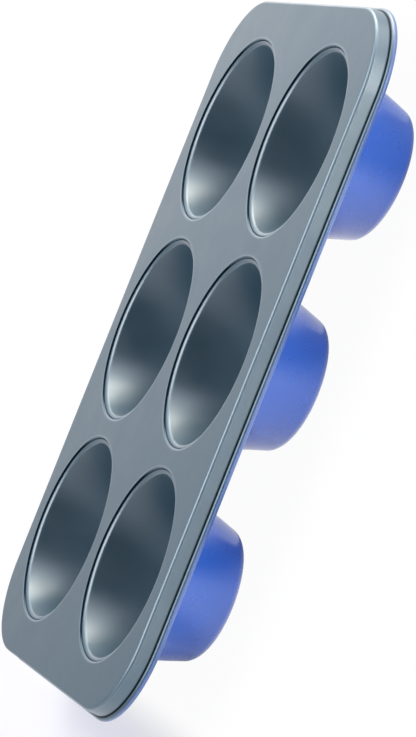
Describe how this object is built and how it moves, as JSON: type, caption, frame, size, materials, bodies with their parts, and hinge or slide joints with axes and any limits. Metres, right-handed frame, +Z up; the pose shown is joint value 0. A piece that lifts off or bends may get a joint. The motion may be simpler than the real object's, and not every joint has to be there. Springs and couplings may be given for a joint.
{
  "type": "jumbo muffin pan",
  "caption": "Jumbo muffin pan: a rounded rectangular top plate with a wire-edged rim and deep tapered cups set in stepped seats.",
  "frame": {"origin": "centre of the pan on the plane that its cups stand on", "axes": "+Z up through the cups' open tops, +Y along the pan's long side towards the rear cups, +X across it to the right"},
  "size_m": [0.216, 0.3306, 0.0437],
  "materials": {
    "grey_non_stick": "satin dark slate non-stick coating on the top and inside, cobalt blue baked coating underneath",
    "blue_outside": "satin cobalt blue baked coating outside, dark slate non-stick coating inside",
    "bare_wire": "drawn steel wire, hidden in the bead"
  },
  "bodies": {
    "root": {"deck": "grey_non_stick", "rim_wire": "bare_wire", "cup_front_left": "blue_outside", "cup_front_right": "blue_outside", "cup_middle_left": "blue_outside", "cup_middle_right": "blue_outside", "cup_rear_left": "blue_outside", "cup_rear_right": "blue_outside"}
  },
  "joints": []
}
